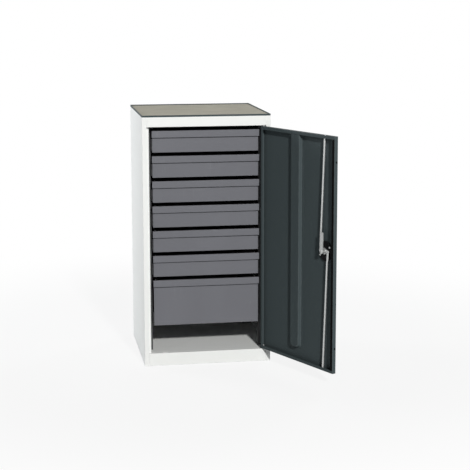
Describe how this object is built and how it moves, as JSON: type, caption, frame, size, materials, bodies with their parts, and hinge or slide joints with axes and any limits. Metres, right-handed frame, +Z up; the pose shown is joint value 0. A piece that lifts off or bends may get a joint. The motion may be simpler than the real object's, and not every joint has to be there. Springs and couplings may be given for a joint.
{
  "type": "parts bin cabinet",
  "caption": "Steel side cabinet with a hinged door, three-point rod lock, telescopic drawers behind it, an open bay below and a ribbed mat on top.",
  "frame": {"origin": "centre of the carcass underside, on the ground", "axes": "-Y is the front of the cabinet, where the door is; +X is the hinge side, on the right seen from the front; +Z is up"},
  "size_m": [0.6715, 0.9113, 0.986],
  "materials": {
    "carcass_white": "fine textured powder coat",
    "anthracite_paint": "satin powder coat",
    "drawer_grey": "satin powder coat",
    "zinc_steel": "bright zinc plate",
    "slide_steel": "dark phosphated steel",
    "black_plastic": "fine grain",
    "mat_rubber": "matt, ribbed",
    "buffer_rubber": "matt"
  },
  "bodies": {
    "carcass": {"side_left": "carcass_white", "side_right": "carcass_white", "back_panel": "carcass_white", "top_panel": "carcass_white", "top_rail": "carcass_white", "bottom_rail": "carcass_white", "floor_panel": "carcass_white", "floor_support": "carcass_white", "top_tray": "anthracite_paint", "ribbed_mat": "mat_rubber", "uprights_left": "slide_steel", "uprights_right": "slide_steel", "cabinet_runners_left": "slide_steel", "cabinet_runners_right": "slide_steel", "hinge_pins": "zinc_steel"},
    "door": {"door_shell": "anthracite_paint", "door_stiffener": "anthracite_paint", "door_seal": "buffer_rubber", "door_buffers": "buffer_rubber", "hinge_bushes": "zinc_steel", "lock_housing": "black_plastic", "housing_screws": "zinc_steel", "lock_rosette": "black_plastic"},
    "lock": {"lock_handle": "black_plastic", "lock_spindle": "zinc_steel", "cam_plate": "zinc_steel", "cam_pins": "zinc_steel", "lock_tongue": "zinc_steel", "tongue_screw": "zinc_steel"},
    "key": {"key_barrel": "zinc_steel"},
    "upper_rod": {"upper_rod": "zinc_steel"},
    "lower_rod": {"lower_rod": "zinc_steel"},
    "drawer_1": {"drawer_1_box": "drawer_grey", "drawer_1_front": "drawer_grey", "drawer_1_runners": "slide_steel"},
    "slide_1": {"drawer_1_slides": "slide_steel"},
    "drawer_2": {"drawer_2_box": "drawer_grey", "drawer_2_front": "drawer_grey", "drawer_2_runners": "slide_steel"},
    "slide_2": {"drawer_2_slides": "slide_steel"},
    "drawer_3": {"drawer_3_box": "drawer_grey", "drawer_3_front": "drawer_grey", "drawer_3_runners": "slide_steel"},
    "slide_3": {"drawer_3_slides": "slide_steel"},
    "drawer_4": {"drawer_4_box": "drawer_grey", "drawer_4_front": "drawer_grey", "drawer_4_runners": "slide_steel"},
    "slide_4": {"drawer_4_slides": "slide_steel"},
    "drawer_5": {"drawer_5_box": "drawer_grey", "drawer_5_front": "drawer_grey", "drawer_5_runners": "slide_steel"},
    "slide_5": {"drawer_5_slides": "slide_steel"},
    "drawer_6": {"drawer_6_box": "drawer_grey", "drawer_6_front": "drawer_grey", "drawer_6_runners": "slide_steel"},
    "slide_6": {"drawer_6_slides": "slide_steel"},
    "drawer_7": {"drawer_7_box": "drawer_grey", "drawer_7_front": "drawer_grey", "drawer_7_runners": "slide_steel"},
    "slide_7": {"drawer_7_slides": "slide_steel"}
  },
  "joints": [
    {"name": "door_swing", "type": "hinge", "parent": "carcass", "child": "door", "pos_m": [0.22415, -0.24535, 0.507], "axis": [0, 0, 1], "range_deg": [-115, 0]},
    {"name": "lock_turn", "type": "hinge", "parent": "door", "child": "lock", "pos_m": [0.38397, -0.60075, 0.507], "axis": [0.9063, 0.4226, 0], "range_deg": [0, 90]},
    {"name": "key_turn", "type": "hinge", "parent": "lock", "child": "key", "pos_m": [0.41116, -0.58808, 0.507], "axis": [0.9063, 0.4226, 0], "range_deg": [0, 90]},
    {"name": "upper_rod_pin", "type": "hinge", "parent": "lock", "child": "upper_rod", "pos_m": [0.3748, -0.58131, 0.507], "axis": [0.9063, 0.4226, 0], "range_deg": [-93, 0]},
    {"name": "lower_rod_pin", "type": "hinge", "parent": "lock", "child": "lower_rod", "pos_m": [0.39297, -0.62028, 0.507], "axis": [0.9063, 0.4226, 0], "range_deg": [-93, 0]},
    {"name": "drawer_1_travel", "type": "slide", "parent": "carcass", "child": "drawer_1", "axis": [0, -1, 0], "range_m": [0, 0.38]},
    {"name": "slide_1_travel", "type": "slide", "parent": "carcass", "child": "slide_1", "axis": [0, -1, 0], "range_m": [0, 0.19]},
    {"name": "drawer_2_travel", "type": "slide", "parent": "carcass", "child": "drawer_2", "axis": [0, -1, 0], "range_m": [0, 0.38]},
    {"name": "slide_2_travel", "type": "slide", "parent": "carcass", "child": "slide_2", "axis": [0, -1, 0], "range_m": [0, 0.19]},
    {"name": "drawer_3_travel", "type": "slide", "parent": "carcass", "child": "drawer_3", "axis": [0, -1, 0], "range_m": [0, 0.38]},
    {"name": "slide_3_travel", "type": "slide", "parent": "carcass", "child": "slide_3", "axis": [0, -1, 0], "range_m": [0, 0.19]},
    {"name": "drawer_4_travel", "type": "slide", "parent": "carcass", "child": "drawer_4", "axis": [0, -1, 0], "range_m": [0, 0.38]},
    {"name": "slide_4_travel", "type": "slide", "parent": "carcass", "child": "slide_4", "axis": [0, -1, 0], "range_m": [0, 0.19]},
    {"name": "drawer_5_travel", "type": "slide", "parent": "carcass", "child": "drawer_5", "axis": [0, -1, 0], "range_m": [0, 0.38]},
    {"name": "slide_5_travel", "type": "slide", "parent": "carcass", "child": "slide_5", "axis": [0, -1, 0], "range_m": [0, 0.19]},
    {"name": "drawer_6_travel", "type": "slide", "parent": "carcass", "child": "drawer_6", "axis": [0, -1, 0], "range_m": [0, 0.38]},
    {"name": "slide_6_travel", "type": "slide", "parent": "carcass", "child": "slide_6", "axis": [0, -1, 0], "range_m": [0, 0.19]},
    {"name": "drawer_7_travel", "type": "slide", "parent": "carcass", "child": "drawer_7", "axis": [0, -1, 0], "range_m": [0, 0.38]},
    {"name": "slide_7_travel", "type": "slide", "parent": "carcass", "child": "slide_7", "axis": [0, -1, 0], "range_m": [0, 0.19]}
  ],
  "couplings": [
    {"joint": "upper_rod_pin", "follows": "lock_turn", "ratio": -1.0317},
    {"joint": "lower_rod_pin", "follows": "lock_turn", "ratio": -1.0301},
    {"joint": "slide_1_travel", "follows": "drawer_1_travel", "ratio": 0.5},
    {"joint": "slide_2_travel", "follows": "drawer_2_travel", "ratio": 0.5},
    {"joint": "slide_3_travel", "follows": "drawer_3_travel", "ratio": 0.5},
    {"joint": "slide_4_travel", "follows": "drawer_4_travel", "ratio": 0.5},
    {"joint": "slide_5_travel", "follows": "drawer_5_travel", "ratio": 0.5},
    {"joint": "slide_6_travel", "follows": "drawer_6_travel", "ratio": 0.5},
    {"joint": "slide_7_travel", "follows": "drawer_7_travel", "ratio": 0.5}
  ]
}
